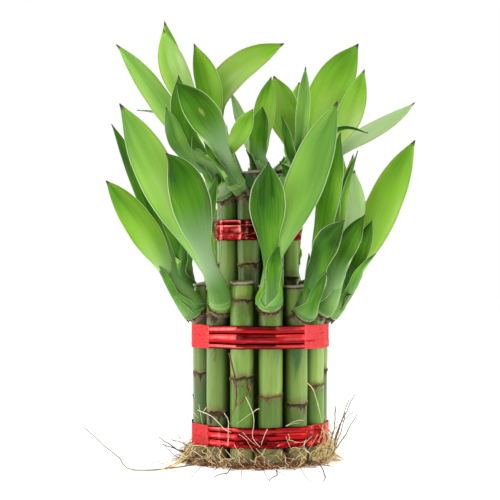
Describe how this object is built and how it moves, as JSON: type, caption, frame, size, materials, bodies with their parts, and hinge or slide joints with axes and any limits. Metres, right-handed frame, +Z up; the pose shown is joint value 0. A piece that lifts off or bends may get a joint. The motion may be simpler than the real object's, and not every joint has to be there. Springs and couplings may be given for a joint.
{
  "type": "tied lucky bamboo plant",
  "caption": "Lucky bamboo: cut canes tied with foil ribbon into a two-tier bundle that stands on its cut ends, with leafy shoots near the cane tops and bare roots at the foot.",
  "frame": {"origin": "middle of the foot of the bundle, on the surface that it stands on, under the centre cane's cut end", "axes": "+Z up along the canes, the pictured front faces -Y, +X to the viewer's right"},
  "size_m": [0.1689, 0.1641, 0.2295],
  "materials": {
    "cane": "satin",
    "foil": "metallic foil, creased",
    "leaf": "satin",
    "root": "matte"
  },
  "bodies": {
    "root": {"outer_cane_01": "cane", "outer_cane_02": "cane", "outer_cane_03": "cane", "outer_cane_04": "cane", "outer_cane_05": "cane", "outer_cane_06": "cane", "outer_cane_07": "cane", "outer_cane_08": "cane", "outer_cane_09": "cane", "outer_cane_10": "cane", "outer_cane_11": "cane", "outer_cane_12": "cane", "outer_cane_13": "cane", "inner_cane_01": "cane", "inner_cane_02": "cane", "inner_cane_03": "cane", "inner_cane_04": "cane", "inner_cane_05": "cane", "inner_cane_06": "cane", "inner_cane_07": "cane", "inner_cane_08": "cane", "centre_cane": "cane", "band_foot": "foil", "band_middle": "foil", "band_upper": "foil", "outer_shoot_01": "leaf", "outer_shoot_02": "leaf", "outer_shoot_03": "leaf", "outer_shoot_04": "leaf", "outer_shoot_05": "leaf", "outer_shoot_06": "leaf", "outer_shoot_07": "leaf", "outer_shoot_08": "leaf", "outer_shoot_09": "leaf", "outer_shoot_10": "leaf", "outer_shoot_11": "leaf", "outer_shoot_12": "leaf", "inner_shoot_01": "leaf", "inner_shoot_02": "leaf", "inner_shoot_03": "leaf", "inner_shoot_04": "leaf", "inner_shoot_05": "leaf", "inner_shoot_06": "leaf", "inner_shoot_07": "leaf", "inner_shoot_08": "leaf", "centre_shoot": "leaf", "outer_roots_01": "root", "outer_roots_02": "root", "outer_roots_03": "root", "outer_roots_04": "root", "outer_roots_05": "root", "outer_roots_06": "root", "outer_roots_07": "root", "outer_roots_08": "root", "outer_roots_09": "root", "outer_roots_10": "root", "outer_roots_11": "root", "outer_roots_12": "root", "outer_roots_13": "root"}
  },
  "joints": []
}
